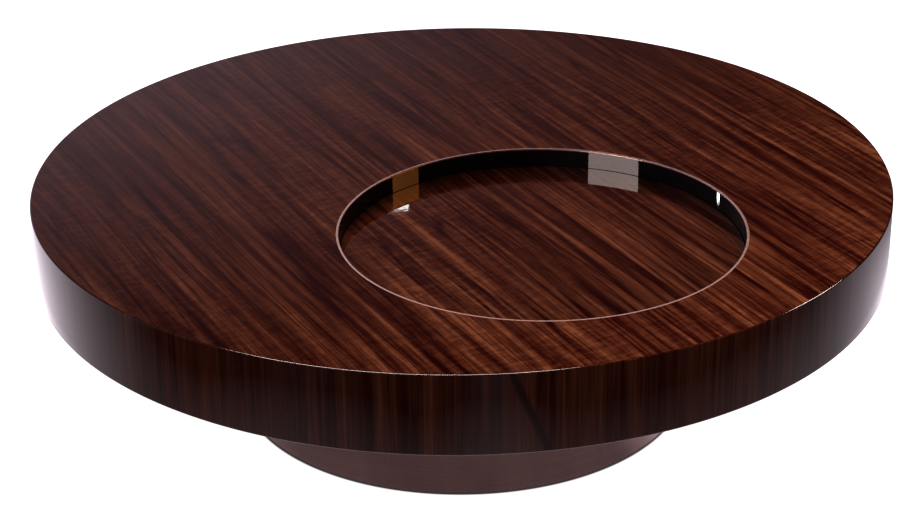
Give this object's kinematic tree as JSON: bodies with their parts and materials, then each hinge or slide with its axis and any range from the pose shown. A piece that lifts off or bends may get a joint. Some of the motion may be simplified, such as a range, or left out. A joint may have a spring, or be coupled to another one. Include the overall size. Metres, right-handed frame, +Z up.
{
  "type": "revolving low table",
  "caption": "Low round table of lazy susan kind: a thick veneered top with an off-centre sunk well turns freely on a metal-skinned drum.",
  "frame": {"origin": "on the turning axis at floor level, which is the bottom centre of the box", "axes": "+Z up along the turning axis, -Y to the front, and at rest the well lies towards +X and -Y"},
  "size_m": [1.3, 1.3, 0.36],
  "materials": {
    "striped_veneer": "dark striped rosewood veneer under high gloss lacquer",
    "rim_veneer": "the same veneer with upright grain under high gloss lacquer",
    "black_lacquer": "high gloss black lacquer",
    "bright_metal": "polished",
    "bronze_metal": "dark bronze, satin, with fine lines round the drum",
    "plywood": "sanded birch plywood",
    "aluminium_ring": "machined",
    "ball_steel": "ground and polished",
    "ballast_steel": "plain steel plate, oiled",
    "zinc_steel": "zinc plated",
    "cage_nylon": "natural nylon strip",
    "black_nylon": "black, lightly textured"
  },
  "bodies": {
    "base": {"bearing_lower_ring": "aluminium_ring", "lower_ring_screws": "zinc_steel", "deck": "plywood", "deck_screws": "zinc_steel", "drum_wall": "plywood", "drum_skin": "bronze_metal", "bottom_board": "plywood", "bottom_board_screws": "zinc_steel", "hand_hole_cover": "black_nylon", "cover_screws": "zinc_steel", "ballast_ring": "ballast_steel", "ballast_bolts": "zinc_steel", "ballast_washers": "zinc_steel", "ballast_tee_nuts": "zinc_steel", "glide_screws": "zinc_steel", "drum_rib_1": "plywood", "drum_rib_2": "plywood", "drum_rib_3": "plywood", "drum_rib_4": "plywood", "drum_rib_5": "plywood", "drum_rib_6": "plywood", "glide_1": "black_nylon", "glide_2": "black_nylon", "glide_3": "black_nylon", "glide_4": "black_nylon", "glide_5": "black_nylon", "glide_6": "black_nylon"},
    "top": {"top_panel": "striped_veneer", "rim_band": "rim_veneer", "underside_panel": "black_lacquer", "well_lip": "bright_metal", "well_wall": "black_lacquer", "well_floor": "striped_veneer", "well_collar": "plywood", "well_board": "plywood", "well_board_screws": "zinc_steel", "swivel_board": "plywood", "swivel_board_screws": "zinc_steel", "bearing_upper_ring": "aluminium_ring", "upper_ring_screws": "zinc_steel", "long_rib_front": "plywood", "long_rib_middle": "plywood", "long_rib_back": "plywood", "cross_rib_left": "plywood", "cross_rib_middle": "plywood", "cross_rib_right": "plywood"},
    "ball_cage": {"ball_cage": "cage_nylon", "bearing_balls": "ball_steel"}
  },
  "joints": [
    {"name": "top_spin", "type": "hinge", "parent": "base", "child": "top", "pos_m": [0, 0, 0], "axis": [0, 0, 1], "continuous": true},
    {"name": "cage_spin", "type": "hinge", "parent": "base", "child": "ball_cage", "pos_m": [0, 0, 0], "axis": [0, 0, 1], "continuous": true}
  ],
  "couplings": [
    {"joint": "cage_spin", "follows": "top_spin", "ratio": 0.5}
  ]
}
